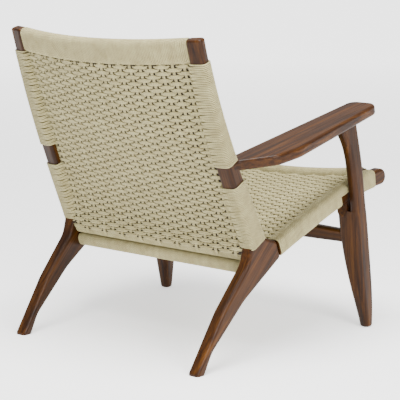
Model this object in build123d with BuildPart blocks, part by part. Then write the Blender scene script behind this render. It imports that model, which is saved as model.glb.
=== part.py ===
# Low easy chair with a solid wood frame and a woven paper-cord seat and back.
#
# Frame: millimetres, +Z up, floor at Z = 0, X = 0 is the mirror plane, the sitter faces -Y.
# Every sided piece is modelled for the sitter's left (+X) and mirrored for the right.
import os
from math import cos, radians, sin

from build123d import *

os.makedirs("parts", exist_ok=True)

# ---- driving dimensions -------------------------------------------------------------------
CENTRE_Y = 10.6  # depth of the box's middle, taken off every piece as it is saved
CORD = 3.4  # paper cord, one layer on the rails

# The rail and the rear leg of each side stand in one upright plane, toed out to the front.
SIDE_X = 280.0  # where that plane crosses Y = 0
TOE_OUT = 2.2  # degrees

# legs
REAR_LEG_T = 30.0
FOOT_LEG_OUTER = 46.5  # outer face of the front leg, from the side plane
UPPER_LEG_INNER = 20.5  # inner face of the front leg above its shoulder
SHOULDER_Z = 290.0
SHOULDER_INNER = -15.0  # inner end of the shoulder, from the side plane
CRADLE_R = 14.0

# seat
SIDE_RAIL_T = 28.0
SIDE_RAIL_SHIFT = 1.0  # the rail sits this far outside the side plane
FRONT_RAIL_Y, FRONT_RAIL_Z = -291.0, 361.0
FRONT_RAIL_T, FRONT_RAIL_H, FRONT_RAIL_DIP = 28.0, 34.0, 21.0
REAR_RAIL_Y, REAR_RAIL_Z, REAR_RAIL_TILT = 126.0, 204.5, 20.0
REAR_RAIL_T, REAR_RAIL_H = 29.0, 25.0

# back
BACK_LOW_Y, BACK_LOW_Z, BACK_LOW_LEAN = 137.0, 240.5, 27.0
BACK_LOW_T, BACK_LOW_H = 29.0, 30.0
TOP_RAIL_Y, TOP_RAIL_Z, TOP_RAIL_LEAN = 317.5, 701.0, 18.0
TOP_RAIL_T, TOP_RAIL_H, TOP_RAIL_BOW = 20.0, 50.0, 35.0
CAP_LENGTH = 51.0  # bare wood at the head of each upright
GAP_TOP, GAP_BOTTOM = (223.0, 456.0), (193.0, 399.0)  # bare stretch of the upright at the arm

# The upright: centre Y and Z, centre X, lean, width, thickness, outward turn of the section.
UPRIGHT = (
    (139.0, 272.0, 274.6, 27.0, 31.0, 49.0, 1.0),
    (165.0, 327.0, 271.5, 26.0, 33.0, 46.0, 3.0),
    (223.0, 450.0, 267.0, 23.5, 37.5, 37.0, 6.0),
    (285.0, 602.0, 264.0, 20.0, 37.5, 28.0, 10.0),
    (325.5, 727.0, 263.5, 16.5, 38.5, 23.5, 12.0),
)

# arm
ARM_T = 25.0
ARM_Y, ARM_Z, ARM_RISE = 213.0, 457.5, 10.3
ARM_LENGTH = 484.0

# stretcher between the front legs
STRETCHER_Y, STRETCHER_Z = -213.0, 226.0
STRETCHER_T, STRETCHER_H, STRETCHER_SWELL = 26.0, 30.0, 4.0

# woven panels, one sheet each
WEAVE_T = 8.0
WEAVE_CLEARANCE = 0.6  # the panels stay this far from the wrapped rails
# Back panel edge: Y, Z, lean, half length, rearward bow.
BACK_PANEL = (
    (152.5, 250.0, 27.0, 262.0, 1.0),
    (171.0, 330.0, 26.0, 259.0, 6.0),
    (228.0, 452.0, 23.5, 255.0, 16.0),
    (290.0, 604.0, 20.0, 252.0, 28.0),
    (315.0, 678.0, 18.0, 252.0, 34.0),
)
# Seat panel edge: Y, Z, rise to the front, half length, downward bow.
SEAT_PANEL = (
    (112.0, 215.0, 25.0, 256.0, 1.0),
    (60.0, 242.0, 22.0, 268.0, 5.0),
    (-90.0, 301.0, 19.5, 276.0, 14.0),
    (-200.0, 338.0, 14.0, 280.0, 19.0),
    (-282.0, 356.0, 9.0, 284.0, 20.0),
)


# ---- places --------------------------------------------------------------------------------
def side_plane(offset=0.0):
    """The upright plane of one side: x runs to the rear, y runs up, z runs outward."""
    toe = radians(TOE_OUT)
    outward = Vector(cos(toe), sin(toe), 0)
    origin = Vector(SIDE_X, 0, 0) + outward * offset
    return Plane(origin=origin, x_dir=(-sin(toe), cos(toe), 0), z_dir=outward)


def in_side(rearward, up, outward=0.0):
    """A point given in the side plane's own directions, as a world point."""
    return side_plane(outward).from_local_coords(Vector(rearward, up, 0))


def leaning_plane(y, z, lean, x=0.0, turn=0.0):
    """A plane across a member that leans back: x runs outward, y runs to the rear."""
    lean_r, turn_r = radians(lean), radians(turn)
    axis = (0, sin(lean_r), cos(lean_r))
    across = (cos(turn_r), -sin(turn_r) * cos(lean_r), sin(turn_r) * sin(lean_r))
    return Plane(origin=(x, y, z), x_dir=across, z_dir=axis)


def mirrored(part):
    """The same piece for the other side of the chair."""
    return mirror(part, about=Plane.YZ)


def save(part, name):
    """Labels one finished piece and writes its STEP file."""
    placed = Pos(0, -CENTRE_Y, 0) * part
    placed.label = name
    export_step(placed, f"parts/{name}.step")


def save_pair(part, name):
    """Writes a sided piece twice, for the sitter's left and right."""
    other = mirrored(part)
    save(part, f"{name}_left")
    save(other, f"{name}_right")


# ---- rear leg blank: boomerang whose head takes the rail and the upright --------------------
with BuildPart() as rear_leg_blank:
    with BuildSketch(side_plane(-REAR_LEG_T / 2)):
        with BuildLine():
            FilletPolyline(
                (160.0, 261.0), (172.0, 218.0), (255.0, 127.0), (346.5, -5.0), (314.5, -5.0),
                (287.0, 44.0), (182.0, 138.5), (55.5, 219.5), (70.0, 259.0), (111.0, 273.0),
                (117.0, 283.0),
                radius=(55.0, 160.0, 8.0, 8.0, 60.0, 200.0, 6.0, 16.0, 4.0),
            )
            Line((117.0, 283.0), (160.0, 261.0))
        make_face()
    extrude(amount=REAR_LEG_T)
    leg_faces = rear_leg_blank.faces().sort_by(lambda f: f.area)[-2:]
    fillet(leg_faces.edges().filter_by(lambda e: e.center().Z < 255.0), radius=8.5)
    with BuildSketch(Plane.XY.offset(-20.0)):
        with Locations((SIDE_X, 320.0)):
            Rectangle(120.0, 120.0)
    extrude(amount=20.0, mode=Mode.SUBTRACT)

# ---- upright blank: tapered, curved and slightly turned --------------------------------------
WRAP_FOOT = (133.5, 261.2, 275.0, 27.6, 30.6, 49.0, 1.0)  # the wrap starts on the leg's head


def upright_loft(skin, stations=UPRIGHT):
    """The upright's body, thickened all round by skin."""
    with BuildPart() as body:
        for y, z, x, lean, width, thickness, turn in stations:
            with BuildSketch(leaning_plane(y, z, lean, x, turn)):
                RectangleRounded(width + 2 * skin, thickness + 2 * skin, 8.0 + skin)
        loft()
    return body.part


with BuildPart() as upright_blank:
    add(upright_loft(0.0))
    fillet(upright_blank.faces().sort_by(Axis.Z)[-1].edges(), radius=5.0)

# ---- arm blank: a flat paddle rising to the front ---------------------------------------------
def arm_plane(drop=0.0):
    """The arm's top face: x runs outward, y runs along the arm to the front."""
    rise = radians(ARM_RISE)
    along = Vector(0, -cos(rise), sin(rise))
    normal = Vector(0, sin(rise), cos(rise))
    origin = Vector(0, ARM_Y, ARM_Z) - normal * drop
    return Plane(origin=origin, x_dir=(-1, 0, 0), z_dir=normal)


with BuildPart() as arm_blank:
    with BuildSketch(arm_plane(ARM_T)):
        with BuildLine():
            FilletPolyline(
                (-249.0, -14.0), (-286.0, -14.0), (-286.0, 6.0), (-350.0, 68.0), (-363.0, 132.0),
                (-354.0, 250.0), (-335.0, ARM_LENGTH), (-258.0, ARM_LENGTH),
                radius=(2.0, 2.0, 18.0, 46.0, 90.0, 300.0, 26.0, 24.0),
                close=True,
            )
        make_face()
    extrude(amount=ARM_T)
    top_face = arm_blank.faces().filter_by(lambda f: f.normal_at().Z > 0.9)
    bottom_face = arm_blank.faces().filter_by(lambda f: f.normal_at().Z < -0.9)
    fillet(top_face.edges() + bottom_face.edges(), radius=7.0)

# ---- seat side rail blank: gently curved, bare rounded nose at the front -------------------------
def side_rail_body(skin):
    """The side rail's body, thickened all round by skin."""
    with BuildPart() as body:
        with BuildSketch(side_plane(SIDE_RAIL_SHIFT - SIDE_RAIL_T / 2 - skin)):
            with BuildLine():
                FilletPolyline(
                    (57.0, 224.0), (-90.0, 281.5), (-258.0, 330.5), (-348.0, 338.0),
                    (-348.0, 378.0), (-251.0, 367.3), (-78.0, 316.5), (69.5, 258.0),
                    radius=(400.0, 300.0, 18.0, 20.0, 300.0, 400.0),
                )
                Line((69.5, 258.0), (57.0, 224.0))
            make_face()
            if skin:
                offset(amount=skin)
        extrude(amount=SIDE_RAIL_T + 2 * skin)
        sides = body.faces().sort_by(lambda f: f.area)[-2:]
        fillet(sides.edges().filter_by(lambda e: e.center().Y < 50.0), radius=7.0 + skin)
    return body.part


with BuildPart() as side_rail_blank:
    add(side_rail_body(0.0))

# ---- front leg blank: rounded sections from foot to arm, with an inward shoulder -------------------
# Height, front Y, rear Y, inner and outer face from the side plane.
LOWER_LEG = (
    (0.0, -268.0, -243.0, 17.0, 43.5),
    (62.0, -267.0, -228.0, 9.0, 44.0),
    (125.0, -259.0, -214.0, -1.0, 45.0),
    (190.0, -248.0, -202.0, -9.0, 46.0),
    (245.0, -239.0, -194.0, -13.5, FOOT_LEG_OUTER),
    (SHOULDER_Z, -231.0, -189.0, SHOULDER_INNER, FOOT_LEG_OUTER),
)
UPPER_LEG = (
    (SHOULDER_Z, -231.0, -189.0, UPPER_LEG_INNER, FOOT_LEG_OUTER),
    (345.0, -221.0, -180.0, UPPER_LEG_INNER, FOOT_LEG_OUTER),
    (400.0, -211.0, -168.0, UPPER_LEG_INNER, FOOT_LEG_OUTER),
    (450.0, -199.0, -151.0, UPPER_LEG_INNER, FOOT_LEG_OUTER),
    (480.0, -191.0, -132.0, UPPER_LEG_INNER, FOOT_LEG_OUTER),
    (512.0, -183.0, -104.0, UPPER_LEG_INNER, FOOT_LEG_OUTER),
)


def leg_loft(stations):
    """A leg through level rounded sections."""
    with BuildPart() as body:
        for z, front, rear, inner, outer in stations:
            width, depth = outer - inner, rear - front
            centre = in_side((front + rear) / 2, z, (inner + outer) / 2)
            with BuildSketch(Plane(origin=centre, x_dir=side_plane().z_dir, z_dir=(0, 0, 1))):
                RectangleRounded(width, depth, 11.0)
        loft()
    return body.part


with BuildPart() as front_leg_blank:
    add(leg_loft(LOWER_LEG))
    foot = front_leg_blank.faces().sort_by(Axis.Z)[0]
    fillet(foot.edges(), radius=7.0)
    add(leg_loft(UPPER_LEG))

# The side rail's run over the shoulder, which the cradle and its block follow.
CRADLE_SLOPE = 16.3
cradle_plane = Plane(
    origin=in_side(-210.0, 296.0, 0.5),
    x_dir=side_plane().z_dir,
    z_dir=side_plane().x_dir * cos(radians(CRADLE_SLOPE)) - Vector(0, 0, sin(radians(CRADLE_SLOPE))),
)
with BuildPart() as cradle:
    with BuildSketch(cradle_plane):
        Circle(CRADLE_R)
        with Locations((0, -20.0)):
            Rectangle(2 * CRADLE_R, 40.0)
    extrude(amount=60.0, both=True)

# ---- joints: each tenon is one solid, added to one piece and cut from the other ----------------------
def block_tenon(plane, width, height, depth):
    """A rectangular tenon that starts a little inside its own piece and runs along the plane's z."""
    with BuildPart() as tenon:
        with BuildSketch(plane.offset(-6.0)):
            RectangleRounded(width, height, min(width, height) / 2 - 0.6)
        extrude(amount=depth + 6.0)
    return tenon.part


lean_low = leaning_plane(139.0, 272.0, 27.0, 274.6)
upright_tenon = block_tenon(
    Plane(origin=lean_low.origin, x_dir=lean_low.x_dir, z_dir=-lean_low.z_dir), 11.0, 26.0, 24.0
)
side_rail_end = Plane(
    origin=in_side(63.2, 241.0, SIDE_RAIL_SHIFT),
    x_dir=side_plane().z_dir,
    z_dir=side_plane().x_dir * cos(radians(20.7)) - Vector(0, 0, sin(radians(20.7))),
)
side_rail_tenon = block_tenon(side_rail_end, 11.0, 22.0, 28.0)
top_rail_tenon = block_tenon(
    Plane(origin=(243.0, TOP_RAIL_Y, TOP_RAIL_Z), x_dir=(0, 0, 1), z_dir=(1, 0, 0)), 28.0, 9.0, 20.0
)
back_low_tenon = block_tenon(
    Plane(origin=(259.5, BACK_LOW_Y, BACK_LOW_Z - 4.0), x_dir=(0, 0, 1), z_dir=(1, 0, 0)),
    14.0, 13.0, 8.0,
)
rear_rail_tenon = block_tenon(
    Plane(origin=(260.0, REAR_RAIL_Y, REAR_RAIL_Z), x_dir=(0, 0, 1), z_dir=(1, 0, 0)), 16.0, 15.0, 18.0
)
front_rail_tenon = block_tenon(
    Plane(origin=(277.5, FRONT_RAIL_Y, FRONT_RAIL_Z), x_dir=(0, 0, 1), z_dir=(1, 0, 0)), 16.0, 14.0, 15.0
)
stretcher_tenon = block_tenon(
    Plane(origin=(276.0, STRETCHER_Y, STRETCHER_Z), x_dir=(0, 0, 1), z_dir=(1, 0, 0)), 20.0, 13.0, 26.0
)
arm_tenon = block_tenon(
    Plane(origin=(266.0, 206.0, 447.0), x_dir=(1, 0, 0), z_dir=(0, 0.98, -0.18)), 24.0, 12.0, 17.0
)
leg_top = in_side(-148.0, 498.0, (UPPER_LEG_INNER + FOOT_LEG_OUTER) / 2)
leg_tenon = block_tenon(
    Plane(origin=leg_top, x_dir=side_plane().z_dir, z_dir=(0, 0.18, 0.98)), 12.0, 36.0, 12.0
)

# ---- rails of the back -----------------------------------------------------------------------------
HALF_TOP_RAIL = 247.0


def bowed_band(half_length, bow, thickness, height, plane, rounding):
    """A rail bent to an arc in the plane, its height along the plane's normal."""
    half_t = thickness / 2
    with BuildPart() as band:
        with BuildSketch(plane.offset(-height / 2)):
            with BuildLine():
                ThreePointArc((-half_length, half_t), (0, bow + half_t), (half_length, half_t))
                Line((half_length, half_t), (half_length, -half_t))
                ThreePointArc((half_length, -half_t), (0, bow - half_t), (-half_length, -half_t))
                Line((-half_length, -half_t), (-half_length, half_t))
            make_face()
        extrude(amount=height)
        ends = band.faces().filter_by(Plane.YZ).edges()
        fillet(band.edges().filter_by(GeomType.CIRCLE) - ends, radius=rounding)
    return band.part


def straight_bar(half_length, thickness, height, plane, rounding):
    """A straight rail along X with a rounded section across the given plane."""
    section = Plane(origin=plane.origin - Vector(half_length, 0, 0), x_dir=plane.y_dir, z_dir=(1, 0, 0))
    with BuildPart() as bar:
        with BuildSketch(section):
            RectangleRounded(thickness, height, rounding)
        extrude(amount=2 * half_length)
    return bar.part


top_rail_plane = leaning_plane(TOP_RAIL_Y, TOP_RAIL_Z, TOP_RAIL_LEAN)
back_low_plane = leaning_plane(BACK_LOW_Y, BACK_LOW_Z, BACK_LOW_LEAN)
rear_rail_plane = leaning_plane(REAR_RAIL_Y, REAR_RAIL_Z, REAR_RAIL_TILT)
# The front rail dips: its arc lies in the upright XZ plane, opened downward.
front_rail_plane = Plane(origin=(0, FRONT_RAIL_Y, FRONT_RAIL_Z), x_dir=(1, 0, 0), z_dir=(0, 1, 0))



def top_rail_body(skin):
    return bowed_band(
        HALF_TOP_RAIL, TOP_RAIL_BOW, TOP_RAIL_T + 2 * skin, TOP_RAIL_H + 2 * skin,
        top_rail_plane, 8.5 + skin,
    )


def back_low_body(skin):
    return straight_bar(
        262.0, BACK_LOW_T + 2 * skin, BACK_LOW_H + 2 * skin, back_low_plane, 9.0 + skin
    )


def rear_rail_body(skin):
    return straight_bar(
        262.0, REAR_RAIL_T + 2 * skin, REAR_RAIL_H + 2 * skin, rear_rail_plane, 9.0 + skin
    )


def front_rail_body(skin):
    return bowed_band(
        280.0, FRONT_RAIL_DIP, FRONT_RAIL_H + 2 * skin, FRONT_RAIL_T + 2 * skin,
        front_rail_plane, 9.0 + skin,
    )


def both(part):
    """A sided solid and its mirror image."""
    return [part, mirrored(part)]


# ---- finished wooden pieces ----------------------------------------------------------------------------
with BuildPart() as rear_leg:
    add(rear_leg_blank.part)
    add([upright_tenon, side_rail_tenon, back_low_tenon, rear_rail_tenon], mode=Mode.SUBTRACT)
save_pair(rear_leg.part, "rear_leg")

with BuildPart() as back_upright:
    add(upright_blank.part)
    add(rear_leg_blank.part, mode=Mode.SUBTRACT)
    add(upright_tenon)
    add([top_rail_tenon, arm_tenon], mode=Mode.SUBTRACT)
save_pair(back_upright.part, "back_upright")

with BuildPart() as arm:
    add(arm_blank.part)
    add(upright_blank.part, mode=Mode.SUBTRACT)
    add(arm_tenon)
    add(leg_tenon, mode=Mode.SUBTRACT)
save_pair(arm.part, "arm")

with BuildPart() as front_leg:
    add(front_leg_blank.part)
    add([cradle.part, arm_blank.part], mode=Mode.SUBTRACT)
    add(leg_tenon)
    add(stretcher_tenon, mode=Mode.SUBTRACT)
save_pair(front_leg.part, "front_leg")

with BuildPart() as seat_side_rail:
    add(side_rail_blank.part)
    add(rear_leg_blank.part, mode=Mode.SUBTRACT)
    add(side_rail_tenon)
    add(front_rail_tenon, mode=Mode.SUBTRACT)
save_pair(seat_side_rail.part, "seat_side_rail")

with BuildPart() as seat_block:
    add(cradle.part)
    with BuildSketch(side_plane(-30.0)):
        with Locations((-210.0, 305.0)):
            Rectangle(40.0, 80.0)
    extrude(amount=60.0, mode=Mode.INTERSECT)
    with BuildSketch(Plane.XY.offset(270.0)):
        with Locations((in_side(-210.0, 0).X, -210.0)):
            Rectangle(120.0, 120.0)
    extrude(amount=55.0, mode=Mode.INTERSECT)
    add([front_leg.part, side_rail_blank.part], mode=Mode.SUBTRACT)
save_pair(seat_block.part, "seat_block")

with BuildPart() as back_top_rail:
    add(top_rail_body(0.0))
    add(both(upright_blank.part), mode=Mode.SUBTRACT)
    add(both(top_rail_tenon))
save(back_top_rail.part, "back_top_rail")

with BuildPart() as back_bottom_rail:
    add(back_low_body(0.0))
    add(both(rear_leg_blank.part) + both(upright_blank.part), mode=Mode.SUBTRACT)
    add(both(back_low_tenon))
save(back_bottom_rail.part, "back_bottom_rail")

with BuildPart() as seat_rear_rail:
    add(rear_rail_body(0.0))
    add(both(rear_leg_blank.part), mode=Mode.SUBTRACT)
    add(both(rear_rail_tenon))
save(seat_rear_rail.part, "seat_rear_rail")

with BuildPart() as seat_front_rail:
    add(front_rail_body(0.0))
    add(both(side_rail_blank.part), mode=Mode.SUBTRACT)
    add(both(front_rail_tenon))
save(seat_front_rail.part, "seat_front_rail")

with BuildPart() as front_stretcher:
    with BuildSketch(Plane.XZ.offset(-STRETCHER_Y - STRETCHER_T / 2)):
        with BuildLine():
            half = 285.0
            up, swell = STRETCHER_H / 2, STRETCHER_SWELL
            mid = STRETCHER_Z
            ThreePointArc((-half, mid + up), (0, mid + up + swell), (half, mid + up))
            Line((half, mid + up), (half, mid - up))
            ThreePointArc((half, mid - up), (0, mid - up - swell), (-half, mid - up))
            Line((-half, mid - up), (-half, mid + up))
        make_face()
    extrude(amount=STRETCHER_T)
    fillet(front_stretcher.edges().filter_by(GeomType.CIRCLE), radius=7.0)
    add(both(front_leg_blank.part), mode=Mode.SUBTRACT)
    add(both(stretcher_tenon))
save(front_stretcher.part, "front_stretcher")

# ---- cord wraps: one layer of cord wound square to each rail ---------------------------------------------
def between(plane, low, high):
    """The slab of space between two parallel planes."""
    with BuildPart() as slab:
        with BuildSketch(plane.offset(low)):
            Rectangle(1600.0, 1600.0)
        extrude(amount=high - low)
    return slab.part


uprights_wrapped = both(upright_loft(CORD, (WRAP_FOOT,) + UPRIGHT))
side_rails_wrapped = both(side_rail_body(CORD))
wood_of_back = both(rear_leg_blank.part) + both(upright_blank.part)

gap_lean = 23.8
upright_top = leaning_plane(325.5, 727.0, 16.5)
gap_top = leaning_plane(*GAP_TOP, gap_lean)
gap_bottom = leaning_plane(*GAP_BOTTOM, gap_lean)

with BuildPart() as upper_wrap:
    add(uprights_wrapped[0])
    add(between(gap_top, 0.0, 400.0), mode=Mode.INTERSECT)
    add(between(upright_top, -600.0, -CAP_LENGTH), mode=Mode.INTERSECT)
    add([upright_blank.part, arm.part, top_rail_body(CORD)], mode=Mode.SUBTRACT)
save_pair(upper_wrap.part, "upright_wrap_upper")

with BuildPart() as lower_wrap:
    add(uprights_wrapped[0])
    add(between(gap_bottom, -400.0, 0.0), mode=Mode.INTERSECT)
    add([rear_leg_blank.part, upright_blank.part, back_upright.part, arm.part], mode=Mode.SUBTRACT)
    add([side_rails_wrapped[0], back_low_body(CORD)], mode=Mode.SUBTRACT)
save_pair(lower_wrap.part, "upright_wrap_lower")

side_along = Plane(
    origin=in_side(0, 0), x_dir=side_plane().z_dir, z_dir=side_plane().x_dir
)
SIDE_WRAPS = {"rear": (-163.0, 90.0), "front": (-302.0, -245.0)}
for where, (front_end, rear_end) in SIDE_WRAPS.items():
    with BuildPart() as side_wrap:
        add(side_rails_wrapped[0])
        add(between(side_along, front_end, rear_end), mode=Mode.INTERSECT)
        add([side_rail_blank.part, seat_side_rail.part], mode=Mode.SUBTRACT)
        add([rear_leg_blank.part, front_leg.part], mode=Mode.SUBTRACT)
        add(front_rail_body(CORD), mode=Mode.SUBTRACT)
    save_pair(side_wrap.part, f"side_rail_wrap_{where}")

with BuildPart() as top_rail_wrap:
    add(top_rail_body(CORD))
    add([top_rail_body(0.0), back_top_rail.part] + both(upright_blank.part), mode=Mode.SUBTRACT)
save(top_rail_wrap.part, "top_rail_wrap")

with BuildPart() as back_bottom_wrap:
    add(back_low_body(CORD))
    add([back_low_body(0.0)] + wood_of_back, mode=Mode.SUBTRACT)
save(back_bottom_wrap.part, "back_bottom_wrap")

with BuildPart() as seat_rear_wrap:
    add(rear_rail_body(CORD))
    add([rear_rail_body(0.0)] + wood_of_back, mode=Mode.SUBTRACT)
save(seat_rear_wrap.part, "seat_rear_wrap")

with BuildPart() as seat_front_wrap:
    add(front_rail_body(CORD))
    add([front_rail_body(0.0)] + both(side_rail_blank.part), mode=Mode.SUBTRACT)
save(seat_front_wrap.part, "seat_front_wrap")


# ---- woven panels: one curved sheet in the back, one in the seat ---------------------------------------
def woven_panel(planes, half_lengths, bows):
    """A curved sheet through thin bowed sections."""
    half_t = WEAVE_T / 2
    with BuildPart() as sheet:
        for plane, half, bow in zip(planes, half_lengths, bows):
            with BuildSketch(plane):
                with BuildLine():
                    ThreePointArc((-half, half_t), (0, bow + half_t), (half, half_t))
                    Line((half, half_t), (half, -half_t))
                    ThreePointArc((half, -half_t), (0, bow - half_t), (-half, -half_t))
                    Line((-half, -half_t), (-half, half_t))
                make_face()
        loft()
    return sheet.part


CLEAR = CORD + WEAVE_CLEARANCE

with BuildPart() as back_weave:
    add(
        woven_panel(
            [leaning_plane(y, z, lean) for y, z, lean, half, bow in BACK_PANEL],
            [row[3] for row in BACK_PANEL],
            [row[4] for row in BACK_PANEL],
        )
    )
    grown_uprights = both(upright_loft(CLEAR, (WRAP_FOOT,) + UPRIGHT))
    add([back_low_body(CLEAR), top_rail_body(CLEAR)] + grown_uprights, mode=Mode.SUBTRACT)
    add(both(rear_leg_blank.part), mode=Mode.SUBTRACT)
save(back_weave.part, "back_weave")


def seat_plane(y, z, rise):
    """A plane across the seat: x runs outward, y runs up, z runs to the front."""
    rise_r = radians(rise)
    return Plane(origin=(0, y, z), x_dir=(1, 0, 0), z_dir=(0, -cos(rise_r), sin(rise_r)))


with BuildPart() as seat_weave:
    add(
        woven_panel(
            [seat_plane(y, z, rise) for y, z, rise, half, bow in SEAT_PANEL],
            [row[3] for row in SEAT_PANEL],
            [-row[4] for row in SEAT_PANEL],
        )
    )
    grown_rails = both(side_rail_body(CLEAR)) + both(rear_leg_blank.part)
    add([rear_rail_body(CLEAR), front_rail_body(CLEAR)] + grown_rails, mode=Mode.SUBTRACT)
    add(back_low_body(CLEAR), mode=Mode.SUBTRACT)
save(seat_weave.part, "seat_weave")
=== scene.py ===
import math

import bpy
import numpy as np
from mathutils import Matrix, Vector


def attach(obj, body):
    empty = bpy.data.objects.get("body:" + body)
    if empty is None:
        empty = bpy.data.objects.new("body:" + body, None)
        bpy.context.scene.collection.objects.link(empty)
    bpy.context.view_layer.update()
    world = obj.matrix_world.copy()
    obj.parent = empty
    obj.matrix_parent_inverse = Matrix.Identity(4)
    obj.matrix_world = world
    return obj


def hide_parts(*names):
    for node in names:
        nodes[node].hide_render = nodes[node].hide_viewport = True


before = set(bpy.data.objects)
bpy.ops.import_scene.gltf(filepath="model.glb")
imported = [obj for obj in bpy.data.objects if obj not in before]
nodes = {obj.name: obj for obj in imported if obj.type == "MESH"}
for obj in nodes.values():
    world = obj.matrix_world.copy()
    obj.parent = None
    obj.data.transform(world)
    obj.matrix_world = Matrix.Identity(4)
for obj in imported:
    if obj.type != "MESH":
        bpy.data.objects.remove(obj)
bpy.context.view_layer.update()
rng = np.random.default_rng(7)

SHIFT = np.array([0.0, -10.6, 0.0])  # the weave is laid out in the part's drawing frame, mm
CORD_R = 1.80
SKIN = 1.75  # a wound cord's centre lies this far off the wood


# ---- camera -------------------------------------------------------------------------------
cam_data = bpy.data.cameras.new("camera")
cam_data.lens = 141.16
cam_data.sensor_width = 36.0
cam_data.clip_end = 50.0
camera = bpy.data.objects.new("camera", cam_data)
camera.location = (-2.3626, 2.8293, 0.98396)
camera.rotation_euler = (math.radians(90 - 10.354), 0.0, math.radians(219.67))
bpy.context.collection.objects.link(camera)
bpy.context.scene.camera = camera


# ---- materials ----------------------------------------------------------------------------
def new_material(name):
    mat = bpy.data.materials.new(name)
    mat.use_nodes = True
    tree = mat.node_tree
    return mat, tree, tree.nodes["Principled BSDF"]


def node(tree, kind, **values):
    made = tree.nodes.new(kind)
    for key, value in values.items():
        if hasattr(made, key):
            setattr(made, key, value)
        else:
            made.inputs[key.replace("_", " ")].default_value = value
    return made


def ramp(tree, stops):
    made = tree.nodes.new("ShaderNodeValToRGB")
    band = made.color_ramp
    while len(band.elements) < len(stops):
        band.elements.new(0.5)
    for element, (position, colour) in zip(band.elements, stops):
        element.position = position
        element.color = (*colour, 1.0)
    return made


def wood_material(name, axis, seed):
    """Stained hardwood whose grain runs along the given direction."""
    mat, tree, shader = new_material(name)
    link = tree.links.new
    coords = node(tree, "ShaderNodeTexCoord")
    turn = node(tree, "ShaderNodeMapping")
    rotation = Vector(axis).normalized().rotation_difference(Vector((1, 0, 0)))
    turn.inputs["Rotation"].default_value = rotation.to_euler()
    turn.inputs["Location"].default_value = (seed * 1.7, seed * 0.37, seed * 0.91)
    link(coords.outputs["Object"], turn.inputs["Vector"])

    def stretched(scale):
        mapping = node(tree, "ShaderNodeMapping")
        mapping.inputs["Scale"].default_value = scale
        link(turn.outputs["Vector"], mapping.inputs["Vector"])
        return mapping.outputs["Vector"]

    bands = node(tree, "ShaderNodeTexNoise", Scale=1.0, Detail=5.0, Roughness=0.55, Distortion=0.6)
    link(stretched((3.0, 105.0, 105.0)), bands.inputs["Vector"])
    fibres = node(tree, "ShaderNodeTexNoise", Scale=1.0, Detail=4.0, Roughness=0.7)
    link(stretched((10.0, 360.0, 360.0)), fibres.inputs["Vector"])
    pores = node(tree, "ShaderNodeTexNoise", Scale=1.0, Detail=2.0, Roughness=0.5)
    link(stretched((45.0, 1500.0, 1500.0)), pores.inputs["Vector"])
    clouds = node(tree, "ShaderNodeTexNoise", Scale=1.0, Detail=2.0)
    link(stretched((5.0, 14.0, 14.0)), clouds.inputs["Vector"])

    base = ramp(tree, (
        (0.28, (0.013, 0.0036, 0.0004)), (0.46, (0.034, 0.0108, 0.0010)),
        (0.60, (0.060, 0.0205, 0.0018)), (0.76, (0.100, 0.0370, 0.0040)),
    ))
    link(bands.outputs["Fac"], base.inputs["Fac"])
    streak = ramp(tree, ((0.32, (0.42, 0.38, 0.35)), (0.56, (1.0, 1.0, 1.0))))
    link(fibres.outputs["Fac"], streak.inputs["Fac"])
    pore = ramp(tree, ((0.34, (0.45, 0.40, 0.36)), (0.44, (1.0, 1.0, 1.0))))
    link(pores.outputs["Fac"], pore.inputs["Fac"])
    shade = ramp(tree, ((0.30, (0.74, 0.72, 0.70)), (0.70, (1.16, 1.12, 1.08))))
    link(clouds.outputs["Fac"], shade.inputs["Fac"])

    def multiply(a, b, amount):
        mix = tree.nodes.new("ShaderNodeMix")
        mix.data_type = "RGBA"
        mix.blend_type = "MULTIPLY"
        mix.inputs["Factor"].default_value = amount
        link(a, mix.inputs["A"])
        link(b, mix.inputs["B"])
        return mix.outputs["Result"]

    colour = multiply(base.outputs["Color"], streak.outputs["Color"], 0.75)
    colour = multiply(colour, pore.outputs["Color"], 0.6)
    colour = multiply(colour, shade.outputs["Color"], 1.0)
    link(colour, shader.inputs["Base Color"])

    rough = node(tree, "ShaderNodeMapRange", From_Min=0.3, From_Max=0.7, To_Min=0.50, To_Max=0.36)
    link(fibres.outputs["Fac"], rough.inputs["Value"])
    link(rough.outputs["Result"], shader.inputs["Roughness"])
    bump = node(tree, "ShaderNodeBump", Strength=0.22, Distance=0.0004)
    link(pores.outputs["Fac"], bump.inputs["Height"])
    link(bump.outputs["Normal"], shader.inputs["Normal"])
    shader.inputs["Specular IOR Level"].default_value = 0.12
    shader.inputs["Coat Weight"].default_value = 0.08
    shader.inputs["Coat Roughness"].default_value = 0.2
    return mat


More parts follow.
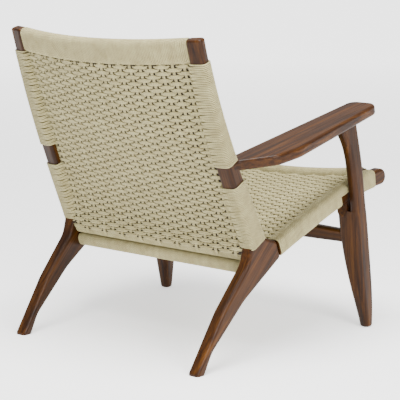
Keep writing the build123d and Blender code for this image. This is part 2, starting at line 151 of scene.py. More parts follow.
def cord_material(name):
    """Twisted paper cord: laid strands along its length, painted shade in the creases between them, slow
    colour drift, a tone for each cord.
    """
    mat, tree, shader = new_material(name)
    link = tree.links.new
    uv = node(tree, "ShaderNodeUVMap", uv_map="cord")
    split = node(tree, "ShaderNodeSeparateXYZ")
    link(uv.outputs["UV"], split.inputs["Vector"])
    along = node(tree, "ShaderNodeMath", operation="MULTIPLY")
    along.inputs[1].default_value = 2.0 * math.pi / 5.2
    link(split.outputs["X"], along.inputs[0])
    around = node(tree, "ShaderNodeMath", operation="MULTIPLY")
    around.inputs[1].default_value = 2.0 * math.pi * 3.0
    link(split.outputs["Y"], around.inputs[0])
    total = node(tree, "ShaderNodeMath", operation="ADD")
    link(along.outputs[0], total.inputs[0])
    link(around.outputs[0], total.inputs[1])
    wave = node(tree, "ShaderNodeMath", operation="SINE")
    link(total.outputs[0], wave.inputs[0])
    # painted shade: this mask marks the creases between the twisted strands
    crease_shade_mask = node(tree, "ShaderNodeMapRange", From_Min=-1.0, From_Max=-0.2, To_Min=0.0, To_Max=1.0)
    link(wave.outputs[0], crease_shade_mask.inputs["Value"])

    coords = node(tree, "ShaderNodeTexCoord")
    drift = node(tree, "ShaderNodeTexNoise", Scale=55.0, Detail=3.0, Roughness=0.6)
    link(coords.outputs["Object"], drift.inputs["Vector"])
    fibre = node(tree, "ShaderNodeTexNoise", Scale=900.0, Detail=3.0, Roughness=0.6)
    link(coords.outputs["Object"], fibre.inputs["Vector"])
    dark, light = (0.32, 0.272, 0.118), (0.46, 0.41, 0.205)
    base = ramp(tree, ((0.30, dark), (0.70, light)))
    link(drift.outputs["Fac"], base.inputs["Fac"])
    # painted shade: in the creases the cord colour drops to two thirds of its dark tone
    crease_painted_shade = tree.nodes.new("ShaderNodeMix")
    crease_painted_shade.data_type = "RGBA"
    crease_painted_shade.inputs["A"].default_value = (*[c * 0.66 for c in dark], 1.0)
    link(crease_shade_mask.outputs["Result"], crease_painted_shade.inputs["Factor"])
    link(base.outputs["Color"], crease_painted_shade.inputs["B"])
    tone_uv = node(tree, "ShaderNodeUVMap", uv_map="tone")
    tone = ramp(tree, (
        (0.0, (0.88, 0.87, 0.84)), (0.35, (0.97, 0.965, 0.95)), (1.0, (1.04, 1.035, 1.02)),
    ))
    link(tone_uv.outputs["UV"], tone.inputs["Fac"])
    toned = tree.nodes.new("ShaderNodeMix")
    toned.data_type = "RGBA"
    toned.blend_type = "MULTIPLY"
    toned.inputs["Factor"].default_value = 1.0
    link(crease_painted_shade.outputs["Result"], toned.inputs["A"])
    link(tone.outputs["Color"], toned.inputs["B"])
    link(toned.outputs["Result"], shader.inputs["Base Color"])

    height = node(tree, "ShaderNodeMath", operation="ADD")
    link(wave.outputs[0], height.inputs[0])
    link(fibre.outputs["Fac"], height.inputs[1])
    bump = node(tree, "ShaderNodeBump", Strength=0.35, Distance=0.0004)
    link(height.outputs[0], bump.inputs["Height"])
    link(bump.outputs["Normal"], shader.inputs["Normal"])
    rough = node(tree, "ShaderNodeMapRange", To_Min=0.62, To_Max=0.86)
    link(fibre.outputs["Fac"], rough.inputs["Value"])
    link(rough.outputs["Result"], shader.inputs["Roughness"])
    shader.inputs["Sheen Weight"].default_value = 0.12
    return mat


GRAIN = {
    "front_leg_left": (0.05, 0.15, 1.0), "front_leg_right": (-0.05, 0.15, 1.0),
    "rear_leg_left": (-0.03, 0.72, -0.69), "rear_leg_right": (0.03, 0.72, -0.69),
    "back_upright_left": (-0.02, 0.39, 0.92), "back_upright_right": (0.02, 0.39, 0.92),
    "arm_left": (0.02, -0.98, 0.18), "arm_right": (-0.02, -0.98, 0.18),
    "seat_side_rail_left": (0.04, -0.96, 0.29), "seat_side_rail_right": (-0.04, -0.96, 0.29),
    "seat_block_left": (0.0, -0.96, 0.29), "seat_block_right": (0.0, -0.96, 0.29),
    "seat_front_rail": (1, 0, 0), "seat_rear_rail": (1, 0, 0), "front_stretcher": (1, 0, 0),
    "back_top_rail": (1, 0, 0), "back_bottom_rail": (1, 0, 0),
}
for index, (name, axis) in enumerate(GRAIN.items()):
    piece = nodes[name]
    piece.data.materials.clear()
    piece.data.materials.append(wood_material("wood_" + name, axis, index + 1))

cord = cord_material("paper_cord")
for name, piece in nodes.items():
    if name not in GRAIN:
        piece.data.materials.clear()
        piece.data.materials.append(cord)


# ---- tubes along paths, all in one mesh -----------------------------------------------------
def unit(v):
    return v / np.maximum(np.linalg.norm(v, axis=-1, keepdims=True), 1e-12)


class Strands:
    """Collects cords, each a tube along its path, and makes one mesh of them."""

    def __init__(self, sides=7):
        self.sides = sides
        self.points, self.quads, self.caps, self.uvs, self.tones = [], [], [], [], []
        self.count = 0

    def add(self, path, hint, radius=CORD_R, closed=False):
        """hint is a direction, or one per point, that is never along the path."""
        path = np.asarray(path, float)
        n, m = len(path), self.sides
        if closed:
            tangent = unit(np.roll(path, -1, 0) - np.roll(path, 1, 0))
        else:
            tangent = unit(np.gradient(path, axis=0))
        side = unit(np.cross(tangent, np.broadcast_to(hint, path.shape)))
        other = np.cross(side, tangent)
        angle = np.linspace(0, 2 * np.pi, m, endpoint=False)
        ring = (
            path[:, None, :]
            + radius * np.cos(angle)[None, :, None] * side[:, None, :]
            + radius * np.sin(angle)[None, :, None] * other[:, None, :]
        )
        rows = n if closed else n - 1
        i = np.arange(rows)[:, None]
        j = np.arange(m)[None, :]
        nxt = (i + 1) % n
        a, b = i * m + j, i * m + (j + 1) % m
        c, d = nxt * m + (j + 1) % m, nxt * m + j
        self.quads.append(np.stack([a, b, c, d], -1).reshape(-1, 4) + self.count)
        step = np.linalg.norm(np.diff(path, axis=0), axis=1)
        if closed:
            step = np.append(step, np.linalg.norm(path[0] - path[-1]))
        run = np.concatenate([[0], np.cumsum(step)]) + rng.uniform(0, 50)
        u0 = np.broadcast_to(run[:rows, None], (rows, m))
        u1 = np.broadcast_to(run[1 : rows + 1, None], (rows, m))
        v0 = np.broadcast_to(j / m, (rows, m))
        v1 = np.broadcast_to((j + 1) / m, (rows, m))
        uv = np.stack([u0, v0, u0, v1, u1, v1, u1, v0], -1).reshape(-1, 2)
        self.uvs.append(uv)
        self.tones.append(np.full(uv.shape, rng.uniform(0, 1)))
        if not closed:
            for start, turn in ((0, -1), ((n - 1) * m, 1)):
                self.caps.append((start + np.arange(m)[::turn] + self.count))
        self.points.append(ring.reshape(-1, 3))
        self.count += n * m

    def make(self, name, replaced):
        points = (np.concatenate(self.points) + SHIFT) / 1000.0
        quads = np.concatenate(self.quads)
        mesh = bpy.data.meshes.new(name)
        mesh.vertices.add(len(points))
        mesh.vertices.foreach_set("co", points.ravel())
        caps = np.array(self.caps, int).reshape(-1, self.sides)
        loops = np.concatenate([quads.ravel(), caps.ravel()])
        starts = np.concatenate(
            [np.arange(len(quads)) * 4, len(quads) * 4 + np.arange(len(caps)) * self.sides]
        )
        mesh.loops.add(len(loops))
        mesh.loops.foreach_set("vertex_index", loops)
        mesh.polygons.add(len(starts))
        mesh.polygons.foreach_set("loop_start", starts)
        mesh.polygons.foreach_set("use_smooth", np.ones(len(starts), bool))
        layer = mesh.uv_layers.new(name="cord")
        uv = np.concatenate(self.uvs + [np.zeros((caps.size, 2))])
        layer.data.foreach_set("uv", uv.ravel())
        layer = mesh.uv_layers.new(name="tone")
        uv = np.concatenate(self.tones + [np.full((caps.size, 2), 0.5)])
        layer.data.foreach_set("uv", uv.ravel())
        mesh.update(calc_edges=True)
        mesh.validate()
        mesh.materials.append(cord)
        piece = bpy.data.objects.new(name, mesh)
        bpy.context.collection.objects.link(piece)
        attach(piece, "root")
        if replaced:
            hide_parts(*replaced)
        return piece


def rounded(width, height, radius, corner=5):
    """Points round a rounded rectangle, anticlockwise, with a point in the middle of each side."""
    out = []
    for k, (sx, sy) in enumerate(((1, -1), (1, 1), (-1, 1), (-1, -1))):
        centre = np.array([sx * (width / 2 - radius), sy * (height / 2 - radius)])
        start = -np.pi / 2 + k * np.pi / 2
        for a in np.linspace(start, start + np.pi / 2, corner):
            out.append(centre + radius * np.array([np.cos(a), np.sin(a)]))
        mid = ((width / 2, 0), (0, height / 2), (-width / 2, 0), (0, -height / 2))[k]
        out.append(np.array(mid))
    return np.array(out)


def wound(centre, across, up, width, height, radius):
    """The closed path of one turn of cord round a rounded section."""
    loop = rounded(width + 2 * SKIN, height + 2 * SKIN, radius + SKIN)
    return centre + loop[:, :1] * across + loop[:, 1:] * up


def smooth(t):
    t = np.clip(t, 0, 1)
    return t * t * (3 - 2 * t)


def flip(path):
    return path * np.array([-1.0, 1.0, 1.0])


# ---- the back's geometry ----------------------------------------------------------------------
# Upright: Y, Z, X, lean, width, thickness, turn, corner radius.
UPRIGHT = np.array([
    (139.0, 272.0, 274.6, 27.0, 31.0, 49.0, 1.0, 8.0),
    (165.0, 327.0, 271.5, 26.0, 33.0, 46.0, 3.0, 8.0),
    (223.0, 450.0, 267.0, 23.5, 37.5, 37.0, 6.0, 8.0),
    (285.0, 602.0, 264.0, 20.0, 37.5, 28.0, 10.0, 8.0),
    (325.5, 727.0, 263.5, 16.5, 38.5, 23.5, 12.0, 8.0),
])
FIT = {k: np.polyfit(UPRIGHT[:, 1] - 480, UPRIGHT[:, c], 4 if k == "y" else 3)
       for k, c in dict(y=0, x=2, lean=3, w=4, t=5, turn=6, r=7).items()}


def upright_at(q):
    """Everything about the upright at axis height q."""
    low = np.maximum(q, 262.0)
    at = {k: np.polyval(f, low - 480) for k, f in FIT.items()}
    lean = np.radians(at["lean"])
    at["y"] = at["y"] + (q - low) * np.tan(lean)
    at["n"] = np.stack([0 * lean, np.cos(lean), -np.sin(lean)], -1)
    at["l"] = np.stack([0 * lean, np.sin(lean), np.cos(lean)], -1)
    at["axis"] = np.stack([0 * lean, at["y"], q + 0 * lean], -1)
    at["half"] = at["x"] - (at["w"] / 2 + 2 * SKIN) / np.cos(np.radians(at["turn"]))
    at["phi"] = np.radians(at["turn"])
    return at


PANEL_OUT = ((240, 33.5), (251.5, 33.0), (262, 27.5), (276, 20.0), (300, 13.0), (340, 8.0),
             (450, 4.0), (600, 4.0), (660, 5.5), (700, 6.5))


def panel_out(q):
    """How far the woven back lies behind the upright's middle."""
    xs, ys = np.array(PANEL_OUT).T
    grid = np.linspace(240, 700, 200)
    soft = np.interp(grid, xs, ys)
    soft = np.convolve(np.pad(soft, 4, mode="edge"), np.ones(9) / 9, mode="valid")
    return np.interp(q, grid, soft)


BACK_BOW = 38.34


def bow_at(q):
    """How far the middle of the back stands behind its edges."""
    return BACK_BOW * smooth((q - 215) / 560)


def back_point(s, q):
    """A point of the back's middle surface, s from -1 to 1 across it."""
    at = upright_at(q)
    s = np.asarray(s, float)
    lift = panel_out(q) + bow_at(q) * (1 - s**2)
    base = at["axis"] + lift[..., None] * at["n"]
    base[..., 0] = s * at["half"]
    return base


ROWS_BACK = 58
LAYER_SHIFT = 1.95  # the front face's wefts lie over the gaps of the rear face's
LANE = 0.22  # the two cords of a row lie this share of the pitch off its middle
WARPS_BACK = 18
WARP_A = 1.1  # how far a warp swings to each side
WARP_LANE = 1.75  # half the distance of the two cords of a warp
q_fine = np.linspace(250, 680, 900)
fine = upright_at(q_fine)
run = np.concatenate([[0], np.cumsum(np.linalg.norm(np.diff(fine["axis"], axis=0), axis=1))])
q_first, q_last = 254.8, 669.5
run_first, run_last = np.interp([q_first, q_last], q_fine, run)
PITCH = (run_last - run_first) / (ROWS_BACK - 1)


def q_of(distance):
    return np.interp(distance, run, q_fine)


FLOAT, DIP = 2.1, -2.4  # a weft's middle off the weave's, on a float and in a dip


def weft_wave(s, count, row, face, lane):
    """How far a weft of one face stands off the middle: long floats, and a dip at every other warp."""
    k = (s + 1) / 2 * count - 0.5
    off = np.abs((k - row - face + 1) % 2 - 1)
    flat = 0.38 if lane < 0 else 0.27
    return FLOAT + (DIP - FLOAT) * (1 - smooth((off - flat) / 0.12))


def crowd_of(index):
    """The shift along the upright that closes the cords up in fours."""
    return (1.5 - index % 4) * 0.65


def hold(x, x0, x1, width):
    """How much of that shift a cord has on its way out over the upright."""
    return smooth((x - x0) / (x1 - x0)) * (1 - smooth((x - x1) / (0.6 * width)))


BARE = (405.0, 450.5)


def in_gap(q):
    """True where the upright is bare at the arm."""
    return BARE[0] < q < BARE[1]


back_rows = []
for row in range(ROWS_BACK):
    for lane in (-LANE, LANE):
        back_rows.append((row, lane, run_first + (row + lane) * PITCH))

weave = {(face, part): Strands() for face in (0, 1) for part in (0, 1)}
turns = {"upper": Strands(), "lower": Strands()}
for face, (row, lane, distance) in [(face, each) for face in (0, 1) for each in back_rows]:
    q = float(q_of(distance))
    at = upright_at(q)
    half = float(at["half"])
    toward = 1 if face == 0 else -1
    inner = np.linspace(-1, 1, WARPS_BACK * 9 + 1)
    inner = inner[np.abs(inner) <= 1 - 0.35 / WARPS_BACK]
    mid = back_point(inner, q)
    mid += np.multiply.outer(toward * weft_wave(inner, WARPS_BACK, row, face, lane), at["n"])
    mid += face * LAYER_SHIFT * at["l"]
    ends = []
    for sign in (-1, 1):
        edge = inner[-1] * sign
        start = toward * float(weft_wave(np.array([edge]), WARPS_BACK, row, face, lane)[0])
        x0 = abs(edge) * half
        if in_gap(q):
            x = np.linspace(x0, float(at["x"] - at["w"] / 2 / np.cos(at["phi"])) + 0.5, 6)[1:]
            out = start * (1 - smooth((x - x0) / (x[-1] - x0)))
            x1 = x[-1]
        else:
            x1 = half + 8.0
            x = np.concatenate([np.linspace(x0, x1, 8)[1:], np.linspace(x1, half + 17, 4)[1:]])
            target = toward * (at["t"] / 2 + SKIN) - (x - at["x"]) * np.tan(at["phi"]) - panel_out(q)
            out = start + (target - start) * smooth((x - x0) / (x1 - x0))
        s = x / half
        tail = back_point(s * 0, q)
        tail[:, 0] = x * sign
        lift = bow_at(q) * (np.maximum(1 - s**2, 0) - 1) + out
        tail += np.multiply.outer(lift, at["n"])
        tail += np.multiply.outer(face * LAYER_SHIFT * (1 - smooth((x - x0) / (x1 - x0))), at["l"])
        if not in_gap(q):
            crowd = crowd_of(2 * row + (lane > 0)) * hold(x, x0, x1, float(at["w"]))
            tail += np.multiply.outer(crowd, at["l"])
        ends.append(tail)
    path = np.concatenate([ends[0][::-1], mid, ends[1]])
    path += rng.normal(0, 0.10, path.shape) * np.array([0, 1, 1])
    weave[face, int(row >= ROWS_BACK // 2)].add(path, at["n"])

# turns round the uprights, on the same lines as the rows, and on past the last row to the cap
HEAD_Z, CAP, HEAD_LEAN = 727.0, 51.5, math.radians(17.0)
top_q = HEAD_Z - CAP * math.cos(HEAD_LEAN)
for index in range(2 * ROWS_BACK + 8):
    distance = run_first + (index * 0.5 - 0.25) * PITCH
    q = float(q_of(distance))
    if distance > run[-1] - 1 or q > top_q - 1.9 or q < 263.0 or in_gap(q):
        continue
    at = upright_at(q)
    cos, sin = np.cos(at["phi"]), np.sin(at["phi"])
    across = np.array([cos, -sin * at["n"][1], -sin * at["n"][2]])
    up = np.array([sin, cos * at["n"][1], cos * at["n"][2]])
    centre = at["axis"] + np.array([float(at["x"]), 0, 0])
    wide, thick = float(at["w"]), float(at["t"])
    loop = wound(centre, across, up, wide, thick, float(at["r"]))
    inward = 1 - smooth(((loop - centre) @ across / wide + 0.5) / 0.6)
    loop += rng.normal(0, 0.05, 3) + (crowd_of(index) * inward)[:, None] * at["l"]
    target = turns["upper" if q > 430 else "lower"]
    target.add(loop, at["l"], closed=True)
    target.add(flip(loop), at["l"], closed=True)

# warps of the back
warps = Strands()
for k in range(WARPS_BACK):
    for lane in (-1, 1):
        s0 = -1 + (2 * k + 1) / WARPS_BACK
        d = np.linspace(run_first - 0.5 * PITCH, run_last + 0.5 * PITCH, ROWS_BACK * 5 + 1)
        q = q_of(d)
        at = upright_at(q)
        wave = np.cos(np.pi * (d - run_first) / PITCH) * (-1) ** k
        lift = panel_out(q) + bow_at(q) * (1 - s0**2) + WARP_A * wave
        path = at["axis"] + lift[:, None] * at["n"]
        path[:, 0] = s0 * at["half"] + lane * WARP_LANE
        rear = 1 if k % 2 == 0 else -1
        end_n, end_l = at["n"][-1], at["l"][-1]
        steps = ((rear * 2.0, 2.4), (rear * 4.5, 5.0), (rear * 5.5, 9.0))
        head = [path[-1] + end_n * o + end_l * u for o, u in steps]
        low_n, low_l = at["n"][0], at["l"][0]
        if rear > 0:
            steps = ((0.0, -3.0), (-1.0, -6.5), (-2.4, -10.0))
        else:
            steps = ((-3.0, -1.0), (-8.0, -0.5), (-14.0, 1.0))
        foot = [path[0] + low_n * o + low_l * u for o, u in steps]
        path = np.concatenate([np.array(foot)[::-1], path, np.array(head)])
        warps.add(path, (1, 0, 0))

for (face, part), strands in weave.items():
    strands.make("back_wefts_%s_%s" % (("rear", "front")[face], ("low", "high")[part]), ["back_weave"])
warps.make("back_warps", ["back_weave"])
turns["upper"].make("cord_turns_upper", ["upright_wrap_upper_left", "upright_wrap_upper_right"])
turns["lower"].make("cord_turns_lower", ["upright_wrap_lower_left", "upright_wrap_lower_right"])


TURN_PITCH = 3.9


# ---- turns round the four cross rails -------------------------------------------------------------
def along_arc(half, bow, pitch):
    """Places along a shallow arc: offset across, offset of the bow, and the arc's angle."""
    radius = (half**2 + bow**2) / (2 * bow)
    reach = math.asin(half / radius)
    count = int(2 * reach * radius / pitch)
    angles = np.linspace(-reach, reach, count)
    return radius * np.sin(angles), bow - radius + radius * np.cos(angles), angles


def lean_pair(lean):
    a = math.radians(lean)
    return np.array([0, math.cos(a), -math.sin(a)]), np.array([0, math.sin(a), math.cos(a)])


strands = Strands()
n, l = lean_pair(18.0)
half_top = 243.0
scale = 35.0 - (247.0**2 - half_top**2) / (2 * 889.0)
for x, bow, angle in zip(*along_arc(half_top, scale, TURN_PITCH)):
    centre = np.array([x, 317.5, 701.0]) + (bow + 35.0 - scale) * n
    radial = math.sin(angle) * np.array([1, 0, 0]) + math.cos(angle) * n
    tangent = math.cos(angle) * np.array([1, 0, 0]) - math.sin(angle) * n
    strands.add(wound(centre + rng.normal(0, 0.06, 3), radial, l, 20.0, 50.0, 8.5), tangent, closed=True)
strands.make("cord_turns_top_rail", ["top_rail_wrap"])

for name, replaced, y, z, lean, thick, high, reach in (
    ("cord_turns_back_bottom", "back_bottom_wrap", 137.0, 240.5, 27.0, 29.0, 30.0, 257.5),
    ("cord_turns_seat_rear", "seat_rear_wrap", 126.0, 204.5, 20.0, 29.0, 25.0, 258.0),
):
    strands = Strands()
    n, l = lean_pair(lean)
    for x in np.linspace(-reach, reach, int(2 * reach / TURN_PITCH)):
        centre = np.array([x, y, z]) + rng.normal(0, 0.06, 3)
        strands.add(wound(centre, n, l, thick, high, 9.0), (1, 0, 0), closed=True)
    strands.make(name, [replaced])

strands = Strands()
down, back = np.array([0, 0, -1.0]), np.array([0, 1.0, 0])
for x, bow, angle in zip(*along_arc(273.0, 20.0, TURN_PITCH)):
    centre = np.array([x, -291.0, 361.0 - bow - 1.0]) + rng.normal(0, 0.06, 3)
    radial = math.sin(angle) * np.array([1, 0, 0]) + math.cos(angle) * down
    tangent = math.cos(angle) * np.array([1, 0, 0]) - math.sin(angle) * down
    strands.add(wound(centre, back, radial, 28.0, 34.0, 9.0), tangent, closed=True)
strands.make("cord_turns_seat_front", ["seat_front_wrap"])


# ---- the seat's geometry ------------------------------------------------------------------------------
RAIL = np.array([(120.0, 219.0), (63.2, 241.0), (-84.0, 298.0), (-170.0, 325.0), (-254.5, 347.3),
                 (-348.0, 358.0)])
RAIL_FIT = np.polyfit(RAIL[:, 0], RAIL[:, 1], 4)
RAIL_SLOPE = np.polyder(RAIL_FIT)
TOE = math.radians(2.2)
OUTWARD = np.array([math.cos(TOE), math.sin(TOE), 0.0])
RAIL_T = 28.0


def rail_at(y):
    """Middle of the side rail at depth y: height, upward normal, forward tangent, its X and height."""
    y = np.asarray(y, float)
    slope = -np.polyval(RAIL_SLOPE, y)
    angle = np.arctan(slope)
    up = np.stack([0 * y, np.sin(angle), np.cos(angle)], -1)
    fore = np.stack([0 * y, -np.cos(angle), np.sin(angle)], -1)
    z = np.polyval(RAIL_FIT, y)
    high = np.interp(-y, (-63, 84, 254, 348), (36.2, 37.0, 37.5, 39.0))
    return z, up, fore, 281.0 - 0.03842 * y, high


SEAT_OUT = ((-120, 3.0), (-60, 3.0), (90, 5.0), (200, 8.0), (285, 13.0))


def seat_out(y):
    xs, ys = np.array(SEAT_OUT).T
    return np.interp(-y, xs, ys)


def seat_bow(y):
    return 21.0 * smooth((130.0 - y) / 430.0)


ROWS_SEAT, WARPS_SEAT = 48, 19
y_fine = np.linspace(130, -340, 1200)
z_fine = np.polyval(RAIL_FIT, y_fine)
seat_run = np.concatenate([[0], np.cumsum(np.hypot(np.diff(y_fine), np.diff(z_fine)))])
seat_first, seat_last = np.interp([-104.0, 266.0], -y_fine, seat_run)
SEAT_PITCH = (seat_last - seat_first) / (ROWS_SEAT - 1)


def y_of(distance):
    return np.interp(distance, seat_run, y_fine)


def seat_half(y):
    return 281.0 - 0.03842 * y - RAIL_T / 2 - 2 * SKIN


LEG_ZONE = (-243.0, -165.0)  # depths where the front leg covers the side rail
SIDE_WRAP = (-300.0, 61.0)  # depths between which the side rail is wound
REAR_LEG = 58.0  # behind this depth the side rail is inside the rear leg
weave = {(face, part): Strands() for face in (0, 1) for part in (0, 1)}
side = {"rear": Strands(), "front": Strands()}
over = Strands()
for face, row, lane in [(f, r, m) for f in (0, 1) for r in range(ROWS_SEAT) for m in (-LANE, LANE)]:
    y = float(y_of(seat_first + (row + lane) * SEAT_PITCH))
    z, up, fore, x_rail, high = rail_at(y)
    half = float(seat_half(y))
    toward = 1 if face == 0 else -1
    inner = np.linspace(-1, 1, WARPS_SEAT * 9 + 1)
    inner = inner[np.abs(inner) <= 1 - 0.35 / WARPS_SEAT]
    out = seat_out(y) - seat_bow(y) * (1 - inner**2)
    out = out + toward * weft_wave(inner, WARPS_SEAT, row, face, lane)
    mid = np.array([0, y, float(z)]) + np.multiply.outer(out, up) + face * LAYER_SHIFT * fore
    mid[:, 0] = inner * half
    ends = []
    for sign in (-1, 1):
        edge = inner[-1] * sign
        start = toward * float(weft_wave(np.array([edge]), WARPS_SEAT, row, face, lane)[0])
        x0 = abs(edge) * half
        if y > REAR_LEG:
            x1 = half + 2.0
            x = np.linspace(x0, x1, 6)[1:]
            lift = start * (1 - smooth((x - x0) / (x1 - x0)))
        else:
            x1 = half + 8.0
            x = np.concatenate([np.linspace(x0, x1, 8)[1:], np.linspace(x1, half + 16, 4)[1:]])
            target = (float(high) / 2 + SKIN) * toward - seat_out(y)
            lift = start + (target - start) * smooth((x - x0) / (x1 - x0))
        s = x / half
        tail = np.zeros((len(x), 3)) + np.array([0, y, float(z)])
        tail[:, 0] = x * sign
        tail += np.multiply.outer(seat_out(y) - seat_bow(y) * np.maximum(1 - s**2, 0) + lift, up)
        tail += np.multiply.outer(face * LAYER_SHIFT * (1 - smooth((x - x0) / (x1 - x0))), fore)
        if y <= REAR_LEG:
            tail += np.multiply.outer(crowd_of(2 * row + (lane > 0)) * hold(x, x0, x1, 30.0), fore)
        ends.append(tail)
    path = np.concatenate([ends[0][::-1], mid, ends[1]])
    path += rng.normal(0, 0.10, path.shape) * np.array([0, 1, 1])
    weave[face, int(row >= ROWS_SEAT // 2)].add(path, up)

for index in range(2 * ROWS_SEAT + 14):
    y = float(y_of(seat_first + (index * 0.5 - 0.25) * SEAT_PITCH))
    z, up, fore, x_rail, high = rail_at(y)
    centre = np.array([float(x_rail), y, float(z)])
    if not SIDE_WRAP[0] <= y <= SIDE_WRAP[1]:
        continue
    if LEG_ZONE[0] < y < LEG_ZONE[1]:
        w, h, r = RAIL_T / 2 + SKIN, float(high) / 2 + SKIN, 7.0 + SKIN
        corners = [(-w, h - 14), (-w, h - r)]
        bend = np.linspace(0.3, 1.57, 4)
        corners += [(-w + r - r * math.cos(a), h - r + r * math.sin(a)) for a in bend]
        corners += [(0, h)]
        bend = np.linspace(0, 1.4, 4)
        corners += [(w - r + r * math.sin(a), h - r + r * math.cos(a)) for a in bend]
        corners += [(w, h - r - 2), (w, h - 16.5 + rng.uniform(-1, 1))]
        path = np.array([centre + a * OUTWARD + b * up for a, b in corners])
        over.add(path, fore)
        over.add(flip(path), fore * np.array([-1, 1, 1]))
        continue
    loop = wound(centre, OUTWARD, up, RAIL_T, float(high), 7.0) + rng.normal(0, 0.05, 3)
    target = side["rear" if y > -200 else "front"]
    target.add(loop, fore, closed=True)
    target.add(flip(loop), fore, closed=True)

warps = Strands()
for k in range(WARPS_SEAT):
    for lane in (-1, 1):
        s0 = -1 + (2 * k + 1) / WARPS_SEAT
        ends = seat_first - 0.5 * SEAT_PITCH, seat_last + 0.5 * SEAT_PITCH
        d = np.linspace(*ends, ROWS_SEAT * 5 + 1)
        y = y_of(d)
        z, up, fore, x_rail, high = rail_at(y)
        wave = np.cos(np.pi * (d - seat_first) / SEAT_PITCH) * (-1) ** k
        lift = seat_out(y) - seat_bow(y) * (1 - s0**2) + WARP_A * wave
        path = np.stack([s0 * seat_half(y) + lane * WARP_LANE, y, z], -1) + lift[:, None] * up
        above = 1 if k % 2 == 0 else -1
        if above > 0:
            steps = ((1.5, 3.0), (4.5, 6.0), (6.0, 10.0))
            foot_steps = ((0.5, -3.0), (0.0, -7.0), (-2.0, -11.0))
        else:
            steps = ((-3, 1.5), (-7, 3.0), (-12, 3.5))
            foot_steps = ((-3, -1.0), (-8, -2.0), (-13, -2.0))
        head = [path[-1] + up[-1] * o + fore[-1] * f for o, f in steps]
        foot = [path[0] + up[0] * o + fore[0] * f for o, f in foot_steps]
        path = np.concatenate([np.array(foot)[::-1], path, np.array(head)])
        warps.add(path, (1, 0, 0))

for (face, part), strands in weave.items():
    strands.make("seat_wefts_%s_%s" % (("top", "under")[face], ("rear", "front")[part]), ["seat_weave"])
warps.make("seat_warps", ["seat_weave"])
side["rear"].make("cord_turns_side_rear", ["side_rail_wrap_rear_left", "side_rail_wrap_rear_right"])
side["front"].make("cord_turns_side_front", ["side_rail_wrap_front_left", "side_rail_wrap_front_right"])
over.make("cord_ends_side_rails", [])


# ---- the unlit middle of both weaves: a dark sheet of painted shade ---------------------------------
# painted shade: a near-black brown sheet through the middle of each weave stands for the shadow seen
# through the gaps between cords
painted_shade_core_mat, core_tree, core_shader = new_material("weave_core_painted_shade")
core_coords = node(core_tree, "ShaderNodeTexCoord")
core_noise = node(core_tree, "ShaderNodeTexNoise", Scale=420.0, Detail=3.0)
core_tree.links.new(core_coords.outputs["Object"], core_noise.inputs["Vector"])
painted_shade_core_ramp = ramp(core_tree, ((0.3, (0.012, 0.008, 0.004)), (0.7, (0.035, 0.024, 0.011))))
core_tree.links.new(core_noise.outputs["Fac"], painted_shade_core_ramp.inputs["Fac"])
core_tree.links.new(painted_shade_core_ramp.outputs["Color"], core_shader.inputs["Base Color"])
core_shader.inputs["Roughness"].default_value = 0.95


CORE_HALF = 0.15


def core(name, points, normals, replaced):
    """A thin closed dark sheet through a grid of points: painted shade seen through the gaps between
    cords.
    """
    rows, columns = points.shape[:2]
    both = np.concatenate([(points + side * CORE_HALF * normals).reshape(-1, 3) for side in (1, -1)])
    size = rows * columns
    faces = []
    for i in range(rows - 1):
        for j in range(columns - 1):
            a, b = i * columns + j, (i + 1) * columns + j
            faces += [(a, a + 1, b + 1, b), (a + size, b + size, b + 1 + size, a + 1 + size)]
    rim = list(range(columns)) + [i * columns + columns - 1 for i in range(1, rows)]
    rim += [(rows - 1) * columns + j for j in range(columns - 2, -1, -1)]
    rim += [i * columns for i in range(rows - 2, 0, -1)]
    faces += [(a, a + size, b + size, b) for a, b in zip(rim, rim[1:] + rim[:1])]
    mesh = bpy.data.meshes.new(name)
    mesh.from_pydata(((both + SHIFT) / 1000).tolist(), [], faces)
    mesh.materials.append(painted_shade_core_mat)
    piece = bpy.data.objects.new(name, mesh)
    bpy.context.collection.objects.link(piece)
    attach(piece, "root")
    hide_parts(replaced)


grid, normals = [], []
for q in np.linspace(251.0, 678.0, 90):
    at = upright_at(q)
    reach = 1 + 2 * SKIN / float(at["half"])
    s = np.linspace(-reach, reach, 61)
    row = back_point(s, q)
    row += np.multiply.outer(bow_at(q) * (np.maximum(1 - s**2, 0) - (1 - s**2)), at["n"])
    grid.append(row)
    normals.append(np.broadcast_to(at["n"], row.shape))
core("back_core_painted_shade", np.array(grid), np.array(normals), "back_weave")

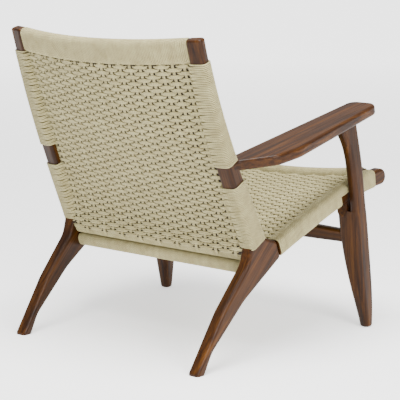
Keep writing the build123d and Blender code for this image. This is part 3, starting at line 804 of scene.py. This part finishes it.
grid, normals = [], []
for y in np.linspace(103.0, -268.0, 80):
    z, up, fore, x_rail, high = rail_at(y)
    half = float(seat_half(y))
    s = np.linspace(-1 - 2 * SKIN / half, 1 + 2 * SKIN / half, 61)
    row = np.array([0, y, float(z)]) + np.multiply.outer(
        seat_out(y) - seat_bow(y) * np.maximum(1 - s**2, 0), up)
    row[:, 0] = s * half
    grid.append(row)
    normals.append(np.broadcast_to(up, row.shape))
core("seat_core_painted_shade", np.array(grid), np.array(normals), "seat_weave")


# ---- floor, light -------------------------------------------------------------------------------------
floor_mesh = bpy.data.meshes.new("floor")
floor_mesh.from_pydata([(-80, -80, 0), (80, -80, 0), (80, 80, 0), (-80, 80, 0)], [], [(0, 1, 2, 3)])
floor = bpy.data.objects.new("floor", floor_mesh)
bpy.context.collection.objects.link(floor)
floor_mat, floor_tree, floor_shader = new_material("floor")
floor_shader.inputs["Base Color"].default_value = (0.95, 0.95, 0.95, 1)
floor_shader.inputs["Roughness"].default_value = 0.9
floor_shader.inputs["Emission Color"].default_value = (1, 1, 1, 1)
floor_coords = node(floor_tree, "ShaderNodeTexCoord")
floor_far = node(floor_tree, "ShaderNodeVectorMath", operation="LENGTH")
floor_tree.links.new(floor_coords.outputs["Object"], floor_far.inputs[0])
floor_glow = node(floor_tree, "ShaderNodeMapRange", From_Min=0.8, From_Max=7.0, To_Min=0.9, To_Max=2.4)
floor_tree.links.new(floor_far.outputs["Value"], floor_glow.inputs["Value"])
floor_tree.links.new(floor_glow.outputs["Result"], floor_shader.inputs["Emission Strength"])
floor_mesh.materials.append(floor_mat)

world = bpy.data.worlds.new("studio")
bpy.context.scene.world = world
world.use_nodes = True
world.node_tree.nodes["Background"].inputs["Color"].default_value = (1, 1, 1, 1)
world.node_tree.nodes["Background"].inputs["Strength"].default_value = 0.8


def area_light(name, place, aim, size, power, colour=(1, 1, 1)):
    data = bpy.data.lights.new(name, "AREA")
    data.shape = "SQUARE"
    data.size = size
    data.energy = power
    data.color = colour
    light = bpy.data.objects.new(name, data)
    light.location = place
    light.rotation_euler = (Vector(aim) - Vector(place)).to_track_quat("-Z", "Y").to_euler()
    bpy.context.collection.objects.link(light)


area_light("top", (-0.4, 0.6, 3.0), (0, 0, 0.3), 1.6, 190.0)
area_light("side", (-3.2, 1.2, 1.7), (0, 0, 0.4), 1.4, 110.0)
